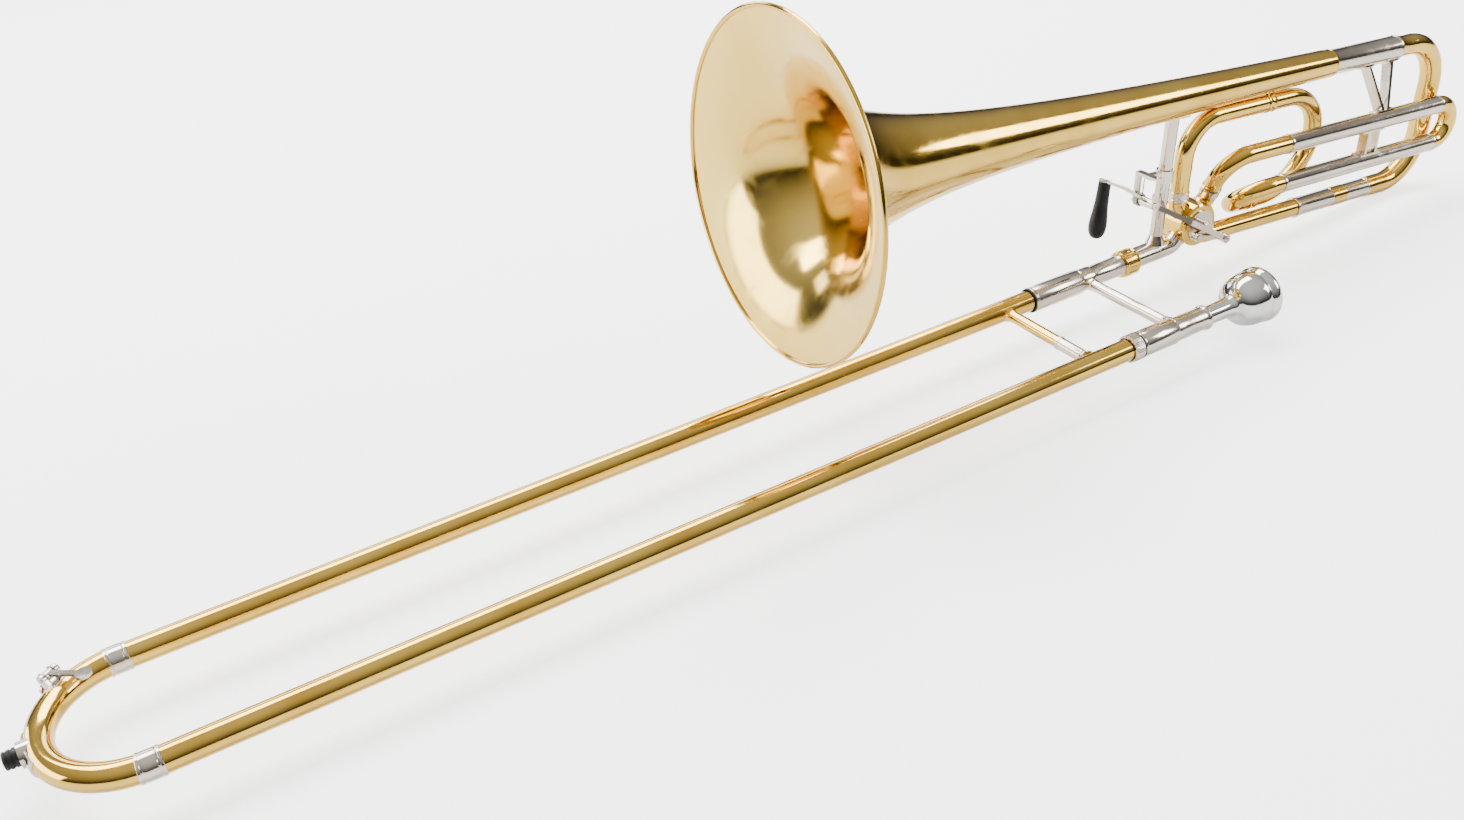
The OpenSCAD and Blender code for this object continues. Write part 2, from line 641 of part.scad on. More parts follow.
// A short arm holds the cork on the nipple, a long one reaches inwards over the tube.
module water_key_lever() color(nickel) key_frame() difference() {
    union() {
        translate(key_pin) {
            pin_y(-2.5, 2.5, 2.6);
            rotate([0, 40.5, 0]) translate([0, -1.9, -0.8]) cube([8.6, 3.8, 1.6]);
            rotate([0, 0, 165]) translate([0, -1.7, 0.4]) cube([19, 3.4, 1.5]);
            rotate([0, 0, 165]) translate([20, 0, 0.3]) cylinder(r = 4.4, h = 1.7);
        }
        translate([bow_r + 11.55, -1.8, -3.4]) cube([1.5, 3.6, 9.4]);
        translate([bow_r + 11.5, 0, 0]) rotate([0, 90, 0]) cylinder(r = 3.9, h = 1.6);
    }
    translate(key_pin) pin_y(-8, 8, 1.25);
}

module water_key_cork() color(cork) key_frame() translate([corner_out + 0.97, 0, 0])
    rotate([0, 90, 0]) cylinder(r = 3.6, h = bow_r + 11.48 - corner_out - 0.97);

module water_key_spring() color(silver) key_frame() key_side() translate([key_rise, 0, 0])
    for (y = [-2.95, 2.95]) translate([0, y, 0]) {
        rotate([90, 0, 0]) rotate_extrude() translate([3.2, 0]) circle(d = 0.6);
        translate([-3.2, 0, -6]) cylinder(d = 0.55, h = 6);
    }

inner_tube_far();
inner_tube_near();
cork_barrel_far();
cork_barrel_near();
barrel_corks();
barrel_bumpers();
bell_receiver();
mouthpiece_receiver();
inner_brace();
bell();
bell_rim();
bell_ferrule();
main_upper_sleeve();
main_lower_sleeve();
main_lower_tube();
gooseneck();
bell_brace();
valve_casing();
valve_plate();
valve_cap();
stop_corks();
port_ferrules();
f_riser_tube();
f_wrap_ferrule();
f_wrap_bow();
f_back_bow();
f_feed_knuckle();
f_feed_tube();
f_upper_sleeve();
f_lower_sleeve();
v_brace();
f_sleeve_brace();
lever_bracket();
lever_axle();
lever_spring();
bell_lock_nut();
main_bow();
main_legs();
f_bow();
f_legs();
rotor();
stop_arm();
link_rod();
thumb_lever();
thumb_pad();
slide_lock_ring();
mouthpiece();
outer_tube_far();
outer_tube_near();
slide_ferrules();
crook();
bumper_seat();
bumper();
outer_brace();
outer_brace_sleeve();
water_key_saddle();
water_key_spring();
water_key_screw();
water_key_lever();
water_key_cork();
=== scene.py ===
import bpy
import numpy as np
from mathutils import Matrix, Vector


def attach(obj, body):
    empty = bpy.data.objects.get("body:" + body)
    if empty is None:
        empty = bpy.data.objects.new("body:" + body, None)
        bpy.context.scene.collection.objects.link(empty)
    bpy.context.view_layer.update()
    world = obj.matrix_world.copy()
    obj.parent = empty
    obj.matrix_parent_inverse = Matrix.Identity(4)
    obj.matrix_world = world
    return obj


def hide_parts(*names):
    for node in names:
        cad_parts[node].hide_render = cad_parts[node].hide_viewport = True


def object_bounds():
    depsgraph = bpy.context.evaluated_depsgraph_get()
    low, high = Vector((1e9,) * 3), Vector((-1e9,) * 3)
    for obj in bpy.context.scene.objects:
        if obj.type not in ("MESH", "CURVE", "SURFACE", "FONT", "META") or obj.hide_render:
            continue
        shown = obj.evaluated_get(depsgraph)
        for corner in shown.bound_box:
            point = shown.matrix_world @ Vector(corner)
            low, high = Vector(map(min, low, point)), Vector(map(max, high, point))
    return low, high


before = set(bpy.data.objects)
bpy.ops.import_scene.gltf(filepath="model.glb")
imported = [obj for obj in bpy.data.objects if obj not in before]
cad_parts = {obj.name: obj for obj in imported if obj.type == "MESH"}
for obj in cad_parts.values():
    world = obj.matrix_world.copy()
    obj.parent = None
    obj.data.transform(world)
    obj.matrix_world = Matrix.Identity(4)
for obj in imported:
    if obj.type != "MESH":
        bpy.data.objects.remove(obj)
cad_low, cad_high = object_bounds()


# ---------------------------------------------------------------- hand slide, moving half
# Two drawn brass tubes 15 mm across with 0.5 mm walls, their ends lightly rounded. All sizes are
# millimetres. The slide's axes have X = 0 at the far barrel's mouth and y = 0 on the far tube.
PITCH = 91.5
BRACE_X = 49.0
AROUND = 64


def slide(p):
    """Millimetres in the slide's axes to metres in the row frame: a shift."""
    return (np.asarray(p, float) + [-BRACE_X, PITCH / 2, 0]) / 1000


def rgb(code):
    """sRGB hex to linear: ((c + 0.055) / 1.055) to the power 2.4, or c / 12.92 when small."""
    c = np.array([int(code[i : i + 2], 16) for i in (1, 3, 5)]) / 255
    return (*np.where(c <= 0.04045, c / 12.92, ((c + 0.055) / 1.055) ** 2.4), 1.0)


def add(tree, kind, settings=None, **sockets):
    """Adds a node: settings are its attributes, and sockets its inputs, by name or by _number, each a
    value or another node's output."""
    n = tree.nodes.new("ShaderNode" + kind)
    for key, value in (settings or {}).items():
        setattr(n, key, value)
    for key, value in sockets.items():
        socket = n.inputs[int(key[1:])] if key[0] == "_" else n.inputs[key.replace("_", " ")]
        if isinstance(value, bpy.types.NodeSocket):
            tree.links.new(value, socket)
        else:
            socket.default_value = value
    return n


def finish(name, light, deep, rough, metallic=1.0, coat=0.0, drift=18.0, grain=1400.0,
           bump=0.05, shine=0.5):
    """A finish. Tone goes from light to deep with slow noise, roughness with smudges of about 15 mm,
    and grain per metre sets the fine scratches, which run along X."""
    m = bpy.data.materials.new(name)
    m.use_nodes = True
    tree = m.node_tree
    tree.nodes.clear()
    where = add(tree, "TexCoord").outputs["Object"]
    slow = add(tree, "TexNoise", Vector=where, Scale=drift, Detail=3.0, Roughness=0.6).outputs["Fac"]
    tone = add(tree, "MapRange", _0=slow, _1=0.35, _2=0.72, _3=0.0, _4=1.0).outputs[0]
    colour = add(tree, "Mix", {"data_type": "RGBA"}, _0=tone, _6=rgb(light), _7=rgb(deep)).outputs[2]
    smudge = add(tree, "TexNoise", Vector=where, Scale=66.0, Detail=5.0, Distortion=0.6).outputs["Fac"]
    smudge = add(tree, "MapRange", _0=smudge, _1=0.5, _2=0.75, _3=rough,
                 _4=rough * 1.9 + 0.03).outputs[0]
    lines = add(tree, "Mapping", Vector=where, Scale=(0.03, 1.0, 1.0)).outputs[0]
    lines = add(tree, "TexNoise", Vector=lines, Scale=grain, Detail=4.0, Roughness=0.7).outputs["Fac"]
    worn = add(tree, "MapRange", _0=lines, _1=0.3, _2=0.7, _3=-0.02, _4=0.03).outputs[0]
    worn = add(tree, "Math", {"operation": "ADD"}, _0=smudge, _1=worn).outputs[0]
    relief = add(tree, "Bump", Strength=bump, Distance=0.00005, Height=lines).outputs[0]
    surface = add(tree, "BsdfPrincipled", Base_Color=colour, Metallic=metallic, Roughness=worn,
                  Normal=relief)
    surface.inputs["Coat Weight"].default_value = coat
    surface.inputs["Coat Roughness"].default_value = 0.04
    surface.inputs["Specular IOR Level"].default_value = shine
    add(tree, "OutputMaterial", Surface=surface.outputs[0])
    return m


# Yellow brass drawn or spun, polished and lacquered: a clear gold with sharp reflections.
BRASS = finish("lacquered yellow brass", "#E6C058", "#D2A63E", 0.09, coat=0.25)


def piece(name, verts, faces, material, body, nodes=(), sharp=32):
    """Makes the mesh at the origin, smooth except over edges sharper than the angle, and hides the
    CAD nodes it stands for."""
    mesh = bpy.data.meshes.new(name)
    mesh.from_pydata(verts.tolist(), [], faces)
    mesh.polygons.foreach_set("use_smooth", np.ones(len(mesh.polygons), bool))
    mesh.set_sharp_from_angle(angle=np.radians(sharp))
    mesh.materials.append(material)
    o = bpy.data.objects.new(name, mesh)
    bpy.context.scene.collection.objects.link(o)
    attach(o, body)
    if nodes:
        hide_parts(*nodes)
    return o


def wound(rows, around, closed):
    """Quads between neighbouring rings, back to the first ring if closed, otherwise with a face on
    each end."""
    i = np.arange(rows if closed else rows - 1)[:, None]
    j = np.arange(around)[None, :]
    k = (j + 1) % around
    n = (i + 1) % rows
    quads = np.stack([i * around + j, i * around + k, n * around + k, n * around + j], -1).reshape(-1, 4)
    quads = [tuple(q) for q in quads.tolist()]
    if not closed:
        quads += [tuple(range(around))[::-1], tuple(range((rows - 1) * around, rows * around))]
    return quads


def tube(name, path, outer, bore, material, body, nodes=(), around=AROUND, sharp=32):
    """A ring of radius r carried along the path at right angles to it. outer lists (distance along
    the path, r) in millimetres, bore is the inside radius, and 0 closes the ends."""
    step = np.linalg.norm(np.diff(path, axis=0), axis=1)
    dist = np.r_[0, np.cumsum(step)]
    tangent = np.diff(path, axis=0) / step[:, None]
    tangent = np.vstack([tangent[:1], tangent[:-1] + tangent[1:], tangent[-1:]])
    tangent /= np.linalg.norm(tangent, axis=1)[:, None]
    normal = np.cross(tangent[0], [0.13, 0.31, 0.94])
    normals = []
    for t in tangent:
        normal = normal - (normal @ t) * t
        normal = normal / np.linalg.norm(normal)
        normals.append(normal)
    normals = np.array(normals)
    o = np.array(outer, float) / 1000
    inner = dist[(dist > o[0, 0] + 1e-5) & (dist < o[-1, 0] - 1e-5)]
    far = np.array([s for s in inner if np.abs(o[:, 0] - s).min() > 2e-5])
    s = np.r_[o[:, 0], far]
    r = np.r_[o[:, 1], np.interp(far, o[:, 0], o[:, 1])] if len(far) else o[:, 1]
    order = np.argsort(s, kind="stable")
    s, r = s[order], r[order]
    if bore:
        s, r = np.r_[s, s[::-1]], np.r_[r, np.full(len(r), bore / 1000)]
    spot = np.stack([np.interp(s, dist, path[:, k]) for k in range(3)], -1)
    ex = np.stack([np.interp(s, dist, normals[:, k]) for k in range(3)], -1)
    tx = np.stack([np.interp(s, dist, tangent[:, k]) for k in range(3)], -1)
    ex -= (ex * tx).sum(1)[:, None] * tx
    ex /= np.linalg.norm(ex, axis=1)[:, None]
    ey = np.cross(tx, ex)
    ey /= np.linalg.norm(ey, axis=1)[:, None]
    a = np.linspace(0, 2 * np.pi, around, endpoint=False)[None, :, None]
    rings = spot[:, None] + r[:, None, None] * (ex[:, None] * np.cos(a) + ey[:, None] * np.sin(a))
    return piece(name, rings.reshape(-1, 3), wound(len(s), around, bool(bore)), material, body, nodes,
                 sharp=sharp)


for name, y in (("outer_tube_far", 0.0), ("outer_tube_near", -PITCH)):
    line = slide([[-621, y, 0], [15.6, y, 0]])
    tube(name + "_skin", line, [(0, 7.4), (0.15, 7.5), (636.4, 7.5), (636.6, 7.35)], 7.03, BRASS,
         "hand_slide", [name])

# The crook: one brass tube bent in a half circle, with nickel ferrules that follow its first
# degrees and have a turned bead at each end.
# Nickel silver under lacquer: a warm grey, a little softer than plate.
NICKEL = finish("lacquered nickel silver", "#DDD3C6", "#CBBFAF", 0.14, coat=0.15)


def route(corners, radii, place):
    """A path through corners: an arc of the given radius replaces each one, tangent to both sides."""
    c = np.asarray(corners, float)
    path = [c[0]]
    for i in range(1, len(c) - 1):
        a, b = c[i] - c[i - 1], c[i + 1] - c[i]
        a, b = a / np.linalg.norm(a), b / np.linalg.norm(b)
        angle = np.arccos(np.clip(a @ b, -1, 1))
        inward = b - (a @ b) * a
        inward /= np.linalg.norm(inward)
        start = c[i] - a * radii[i] * np.tan(angle / 2)
        t = np.linspace(0, angle, max(6, int(np.degrees(angle) / 2.5)))[:, None]
        arc = start + radii[i] * (inward * (1 - np.cos(t)) + a * np.sin(t))
        path.extend(arc if np.linalg.norm(arc[0] - path[-1]) > 1e-3 else arc[1:])
    path.append(c[-1])
    path = np.array(path)
    keep = np.r_[True, np.linalg.norm(np.diff(path, axis=0), axis=1) > 1e-3]
    return place(path[keep])


bow = PITCH / 2
bend = [[-618, 0, 0], [-624 - bow, 0, 0], [-624 - bow, -PITCH, 0], [-618, -PITCH, 0]]
line = route(bend, [0, bow, bow, 0], slide)
total = 12 + np.pi * bow
tube("crook_skin", line, [(3.1, 7.5), (total - 3.1, 7.5)], 7.03, BRASS, "hand_slide", ["crook"])
bead = [(0, 7.85), (0.25, 8.15), (1.5, 8.15), (1.9, 7.85), (2.3, 7.8), (2.6, 8.0), (9.4, 8.0),
        (9.7, 7.8), (10.1, 7.85), (10.5, 8.15), (11.75, 8.15), (12, 7.85)]
tube("ferrule_far_skin", line, bead, 7.53, NICKEL, "hand_slide", ["slide_ferrules"])
tube("ferrule_near_skin", line, [(total - s, r) for s, r in bead[::-1]], 7.53, NICKEL, "hand_slide")

# The bumper: a moulded rubber plug with two grip grooves, in a nickel seat.
# Moulded rubber: near black and matt, with a fine grain.
RUBBER = finish("black rubber", "#0B0B0C", "#060606", 0.5, metallic=0.0,
                grain=2600.0, bump=0.3)


def turned(name, profile, at, axis, material, body, nodes=(), around=AROUND, sharp=32,
           place=slide):
    """A solid of revolution: profile is a closed loop of (distance along the axis, radius) in millimetres,
    and the surface is at + x axis + r (cos u, sin u) across it."""
    p = np.array(profile, float)
    axis = np.array(axis, float) / np.linalg.norm(axis)
    ex = np.cross(axis, [0.0, 0.0, 1.0] if abs(axis[2]) < 0.9 else [1.0, 0.0, 0.0])
    ex /= np.linalg.norm(ex)
    ey = np.cross(axis, ex)
    u = np.linspace(0, 2 * np.pi, around, endpoint=False)[None, :, None]
    rings = np.array(at) + p[:, None, :1] * axis + p[:, None, 1:] * (ex * np.cos(u) + ey * np.sin(u))
    return piece(name, place(rings.reshape(-1, 3)), wound(len(p), around, p[0, 1] > 0.01), material,
                 body, nodes, sharp=sharp)


profile = [(-9.42, 0), (-9.42, 5.0), (-9.9, 5.2), (-11.6, 5.2), (-11.9, 4.7), (-12.5, 4.7),
           (-12.8, 5.15), (-14.2, 5.1), (-14.5, 4.6), (-15.1, 4.6), (-15.4, 5.0), (-16.2, 4.9),
           (-16.8, 4.5), (-17, 3.6), (-17, 0)]
turned("bumper_skin", profile, [-624 - bow, -bow, 0], [1, 0, 0], RUBBER, "hand_slide", ["bumper"])

# The outer brace: a brass tube whose near half slides in a nickel sleeve. Each end spreads into
# a saddle that is soldered round its slide tube.
t = np.linspace(0, 1, 9)
flare = [(s, 4.1 + 1.3 * (1 - x) ** 2) for s, x in zip(7.5 + 5 * t, t)]
line = slide([[-23.3, 0, 0], [-23.3, -PITCH, 0]])
tube("outer_brace_skin", line, [(7.25, 5.6)] + flare + [(57.9, 4.1)], 0, BRASS, "hand_slide",
     ["outer_brace"])
sleeve = [(57.2, 4.3), (57.5, 4.75), (59.2, 4.75), (59.6, 4.45), (78.6, 4.45)]
sleeve += [(PITCH - s, r + 0.3) for s, r in flare[::-1]][1:] + [(PITCH - 7.25, 5.8)]
tube("outer_brace_sleeve_skin", line, sleeve, 0, NICKEL, "hand_slide", ["outer_brace_sleeve"])


# ---------------------------------------------------------------- hand slide, held half
# Bright inner tubes: 13.4 mm, with stockings of 13.95 mm over the last 95 mm.
# Silver plate, buffed: nearly white and the sharpest mirror on the instrument.
SILVER = finish("silver plate", "#E9E9E6", "#D6D6D4", 0.07)
for name, y in (("inner_tube_far", 0.0), ("inner_tube_near", -PITCH)):
    line = slide([[-600, y, 0], [43.9, y, 0]])
    tube(name + "_skin", line, [(0, 6.75), (0.4, 6.96), (94, 6.96), (96, 6.71), (643.9, 6.71)], 6.35,
         SILVER, "bell_and_inner_slide", [name])

# Cork barrels: nickel, turned, with a rolled lip at the mouth and a step at the back.
back = [(42.8, 8.95), (43.3, 8.7), (43.9, 7.6), (44, 6.75), (20, 6.75), (20, 8.02)]
profile = [(0, 8.05), (0, 8.7), (0.2, 8.95), (1.0, 9.05), (1.8, 8.95), (2.1, 8.75), (2.5, 8.72),
           (2.8, 8.9), (3.2, 8.95)] + back
turned("cork_barrel_far_skin", profile, [0, 0, 0], [1, 0, 0], NICKEL, "bell_and_inner_slide",
       ["cork_barrel_far"])
profile = [(13.4, 8.5), (13.4, 8.85), (13.7, 9.0), (15.2, 9.0), (15.5, 8.85), (16, 8.95)] + back
turned("cork_barrel_near_skin", profile, [0, -PITCH, 0], [1, 0, 0], NICKEL,
       "bell_and_inner_slide", ["cork_barrel_near"])

# Two black rings in the rubber finish: one at the far barrel's mouth and one between the near barrel and
# its lock ring.
profile = [(-1.1, 8.1), (-1.1, 8.6), (-0.85, 8.85), (-0.2, 8.85), (-0.02, 8.6), (-0.02, 8.1)]
turned("far_black_ring", profile, [0, 0, 0], [1, 0, 0], RUBBER, "bell_and_inner_slide",
       ["barrel_bumpers"])
profile = [(12.86, 8.55), (12.86, 9.1), (12.95, 9.25), (13.3, 9.25), (13.38, 9.1), (13.38, 8.55)]
turned("near_black_ring", profile, [0, -PITCH, 0], [1, 0, 0], RUBBER, "bell_and_inner_slide")

# The collar that takes the bell, and the one that takes the mouthpiece, with its raised end ring.
profile = [(44.05, 7.5), (44.8, 8.15), (54.0, 8.2), (54.8, 7.95), (55.4, 7.65), (79.6, 7.6), (80.4, 7.7),
           (82, 7.98), (88.3, 7.98), (88.5, 7.8), (88.5, 6.92), (60, 6.92), (60, 6.4), (44.1, 6.4)]
turned("bell_receiver_skin", profile, [0, 0, 0], [1, 0, 0], NICKEL, "bell_and_inner_slide",
       ["bell_receiver"])
profile = [(44.05, 7.5), (44.8, 8.15), (54, 8.1), (54.6, 7.9), (69.9, 7.8), (70.3, 8.1), (70.7, 8.5),
           (71.4, 8.7), (72.6, 8.7), (73.3, 8.45), (73.7, 8.0), (74, 7.6), (74, 6.47), (44.1, 5.72)]
turned("mouthpiece_receiver_skin", profile, [0, -PITCH, 0], [1, 0, 0], NICKEL,
       "bell_and_inner_slide", ["mouthpiece_receiver"])

# The inner brace: a nickel tube the left hand holds, with a turned socket at each end.
line = slide([[BRACE_X, 0, 0], [BRACE_X, -PITCH, 0]])
end = [(7.7, 5.2), (8.6, 4.8), (9.8, 4.55), (11.2, 4.5), (11.6, 4.3), (12.2, 4.05), (12.8, 4.0)]
tube("inner_brace_skin", line, end + [(PITCH - s, r) for s, r in end[::-1]], 0, NICKEL,
     "bell_and_inner_slide", ["inner_brace"])

# The slide lock ring: nickel, with straight knurls, turned a little way to hold the slide closed.
a = np.linspace(0, 2 * np.pi, 192, endpoint=False)
rows = [(4.2, 8.75, 0), (4.5, 9.1, 0), (5.3, 9.15, 0.12), (11.6, 9.15, 0.12), (12.4, 9.1, 0),
        (12.8, 8.8, 0), (12.8, 8.56, 0), (5.5, 8.56, 0), (5.5, 8.06, 0), (4.2, 8.06, 0)]
verts = [np.stack([np.full(192, x), (r + k * np.sign(np.sin(48 * a))) * np.cos(a) - PITCH,
                   (r + k * np.sign(np.sin(48 * a))) * np.sin(a)], -1) for x, r, k in rows]
piece("slide_lock_ring_skin", slide(np.concatenate(verts)), wound(len(rows), 192, True), NICKEL,
      "slide_lock_ring", ["slide_lock_ring"])


# ---------------------------------------------------------------- mouthpiece
# Silver plated, turned: shank, swelling blank, cup wall with a step, rounded rim, and the open cup.
profile = [(52, 5.8), (74.3, 6.38), (75, 6.42), (84, 6.6), (90, 6.75), (94, 6.95), (96, 7.3), (97, 7.9),
           (97.7, 9.0), (98.6, 10.7), (100, 12.8), (102, 14.7), (104.5, 16.3), (107.5, 17.4),
           (111, 18.2), (115, 18.6), (117.6, 18.6), (118.4, 18.3), (119.2, 18.0), (120, 18.2),
           (120.8, 18.9), (121.8, 19.35), (123.4, 19.6), (124.8, 19.55), (126.2, 19.1),
           (127.4, 18.2), (128.3, 16.9), (128.7, 15.5), (128.5, 14.3), (127.8, 13.3), (126.6, 12.75),
           (124, 12.4), (119, 11.7), (114, 10.6), (110, 9.0), (107, 6.8), (105, 4.6), (103.4, 3.5),
           (101.5, 3.3), (98, 3.6), (52, 5.15)]
turned("mouthpiece_skin", profile, [0, -PITCH, 0], [1, 0, 0], SILVER, "mouthpiece", ["mouthpiece"],
       around=96)


# ---------------------------------------------------------------- bell
# Spun brass: outside radius 107 (1 + s / 17.9) to the power -0.7, s from the rim, 0.7 mm thick.
# The inside is the same surface set in by the wall, and the rim is rolled round a wire.
# The same brass inside the flare, given a rougher finish, so its reflections are broader and paler. It is
# also painted a paler, yellower brass than the outside: a lighter copy of the colour, there to offset the
# deeper tint that light bouncing round the flare gives it.
INSIDE = finish("bell bore, lacquered brass", "#EFCD6E", "#E0B750", 0.13,
                coat=0.2, drift=9.0)
# The bell loop's axes are tilted against the slide's about the pivot.
PIVOT, TILT = 152.0, np.radians(4.82)
LOOP_W, RIM_X = 112.4, -205.4


def loop(p):
    """Millimetres in the bell loop's axes to metres in the row frame: a turn by TILT about Y at
    x = PIVOT, then the slide's shift."""
    p = np.asarray(p, float) - [PIVOT, 0, 0]
    c, s = np.cos(TILT), np.sin(TILT)
    q = np.stack([p[..., 0] * c + p[..., 2] * s, p[..., 1], p[..., 2] * c - p[..., 0] * s], -1)
    return slide(q + [PIVOT, 0, 0])


ROWS, ROUND = 150, 192
s = 470 * np.linspace(0, 1, ROWS) ** 2.2
out = 107 * (1 + s / 17.9) ** -0.7
slope = -0.7 * 107 / 17.9 * (1 + s / 17.9) ** -1.7
norm = np.sqrt(1 + slope ** 2)
skin = np.stack([RIM_X + s, out], -1)
lining = np.stack([RIM_X + s + 0.7 * slope / norm, out - 0.7 / norm], -1)
axis_at = [0, 0, LOOP_W]
bell = turned("bell_skin", np.vstack([skin, lining[::-1]]), axis_at, [1, 0, 0], BRASS,
              "bell_and_inner_slide", ["bell"], around=ROUND, sharp=60, place=loop)
bell.data.materials.append(INSIDE)
count = len(bell.data.polygons)
inner = np.arange(count) // ROUND >= ROWS - 1
bell.data.polygons.foreach_set("material_index", inner.astype(np.int32))
u = np.linspace(0, 2 * np.pi, 24, endpoint=False)
ring = np.stack([RIM_X - 0.9 + 1.6 * np.cos(u), 107.9 + 1.6 * np.sin(u)], -1)
turned("bell_rim_skin", ring, axis_at, [1, 0, 0], BRASS, "bell_and_inner_slide", ["bell_rim"],
       around=ROUND, place=loop)

# The ferrule at the bell's tail, a turned brass ring.
profile = [(264.62, 10.0), (264.9, 10.25), (270.2, 10.15), (270.5, 10.35), (271.8, 10.3), (272.4, 10.0),
           (272.4, 9.45), (264.62, 9.45)]
turned("bell_ferrule_skin", profile, axis_at, [1, 0, 0], BRASS, "bell_and_inner_slide",
       ["bell_ferrule"], place=loop)


# ---------------------------------------------------------------- bell loop tubing
# Sleeves of nickel silver, each drawn tube with a turned bead at its mouth, and the brass tubes
# soldered into them. One brass band goes round the lower sleeve.
def sleeve_profile(length, r, first, last):
    """Radius r with a rounded bead of radius first over the first 2 mm and last over the final 2 mm."""
    return [(0, first - 0.4), (0.3, first), (1.6, first), (2.0, r + 0.1), (2.3, r), (length - 2.2, r),
            (length - 1.9, last - 0.1), (length - 1.5, last), (length - 0.4, last), (length, last - 0.35)]


line = loop([[265.6, 0, LOOP_W], [344.7, 0, LOOP_W]])
tube("main_upper_sleeve_skin", line, sleeve_profile(79.1, 9.4, 9.45, 9.7), 8.87, NICKEL,
     "bell_and_inner_slide", ["main_upper_sleeve"])
line = loop([[262.3, 0, 0], [344.7, 0, 0]])
tube("main_lower_sleeve_skin", line, sleeve_profile(82.4, 7.3, 7.9, 7.65), 6.83, NICKEL,
     "bell_and_inner_slide", ["main_lower_sleeve"])
line = loop([[303, 0, 0], [318, 0, 0]])
tube("main_lower_band", line, [(0, 7.32), (0.2, 7.5), (14.8, 7.5), (15, 7.32)], 7.2, BRASS,
     "bell_and_inner_slide")
for name, z in (("f_upper_sleeve", 65.0), ("f_lower_sleeve", 34.5)):
    line = loop([[219, -18, z], [388.7, -18, z]])
    tube(name + "_skin", line, sleeve_profile(169.7, 6.9, 7.3, 7.25), 6.36, NICKEL,
         "bell_and_inner_slide", [name])

# Gooseneck and the four branches that leave the rotary valve, all 13 to 14 mm tube.
def along(line):
    """Length of a path in millimetres: the sum of its steps."""
    return np.linalg.norm(np.diff(line, axis=0), axis=1).sum() * 1000


reach = 14.5 * np.sqrt(2) - 10 * np.tan(np.radians(22.5))
port = reach * np.sqrt(0.5)
k = (14.5 + 3 * np.tan(TILT)) / (1 - np.tan(TILT))
neck = [[152 - 90 * np.cos(TILT), 0, -90 * np.sin(TILT)], [149 - k, 0, 14.5 - k],
        [149 - port, 0, 14.5 - port]]
line = route(neck, [0, 10, 0], loop)
length = along(line)
tube("gooseneck_skin", line, [(0, 6.8), (27, 6.8), (27.1, 7.5), (27.4, 7.7), (28.3, 7.7), (28.6, 7.5),
     (28.7, 6.8), (length, 6.8)], 6.1, NICKEL, "bell_and_inner_slide", ["gooseneck"])
line = route([[149 + port, 0, 14.5 - port], [163.5, 0, 0], [269.8, 0, 0]], [0, 10, 0], loop)
length = along(line)
tube("main_lower_tube_skin", line, [(0, 6.8), (length, 6.8)], 6.1, BRASS, "bell_and_inner_slide",
     ["main_lower_tube"])
line = route([[149 - port, 0, 14.5 + port], [134.5, 0, 29], [134.5, 0, 92.8], [212, 0, 92.8]],
             [0, 10, 27, 0], loop)
length = along(line)
tube("f_riser_tube_skin", line, [(0, 6.6), (length, 6.6)], 6.1, BRASS, "bell_and_inner_slide",
     ["f_riser_tube"])
feed = [[149 + port, 0, 14.5 + port], [163.5, 0, 29], [157, -18, 65], [224, -18, 65]]
line = route(feed, [0, 7.3, 20, 0], loop)
length = along(line)
tube("f_feed_tube_skin", line, [(0, 6.6), (length, 6.6)], 6.1, BRASS, "bell_and_inner_slide",
     ["f_feed_knuckle", "f_feed_tube"])

# The F wrap: a large bow under the bell stem, a ferrule where it meets the riser, and a small bow
# that brings the tube out to the plane of the F slide.
half = np.hypot(10, 80.8) / 2
wrap = [[212.1, 0, 92.8], [233.5 + half, 0, 92.8], [233.5 + half, 10, 12], [222, 10, 12]]
line = route(wrap, [0, half, half, 0], loop)
length = along(line)
tube("f_wrap_bow_skin", line, [(0, 6.6), (length, 6.6)], 6.1, BRASS, "bell_and_inner_slide",
     ["f_wrap_bow"])
ring = [(0, 6.9), (0.3, 7.2), (1.2, 7.3), (1.7, 7.0), (6.3, 7.0), (6.8, 7.3), (7.7, 7.2), (8, 6.9)]
tube("f_wrap_ferrule_skin", loop([[208, 0, 92.8], [216, 0, 92.8]]), ring, 6.62, BRASS,
     "bell_and_inner_slide", ["f_wrap_ferrule"])
half = np.hypot(28, 22.5) / 2
turn = [[221.9, 10, 12], [211 - half, 10, 12], [211 - half, -18, 34.5], [224, -18, 34.5]]
line = route(turn, [0, half, half, 0], loop)
length = along(line)
tube("f_back_bow_skin", line, [(0, 6.6), (length, 6.6)], 6.1, BRASS, "bell_and_inner_slide",
     ["f_back_bow"])
tube("f_back_ferrule", loop([[218, 10, 12], [226, 10, 12]]), ring, 6.62, BRASS,
     "bell_and_inner_slide")
line = loop([[134.5, 0, 34], [134.5, 0, 41]])
ring = [(0, 7.1), (0.3, 7.4), (1.3, 7.4), (1.6, 7.15), (5.4, 7.15), (5.7, 7.4), (6.7, 7.4), (7, 7.1)]
tube("riser_ferrule", line, ring, 6.62, NICKEL, "bell_and_inner_slide", ["port_ferrules"])
d = np.array([-6.5, -18, 36]) / np.linalg.norm([-6.5, -18, 36])
line = loop([[163.5, 0, 29] + 6.5 * d, [163.5, 0, 29] + 13.5 * d])
tube("feed_ferrule", line, ring, 6.62, NICKEL, "bell_and_inner_slide")

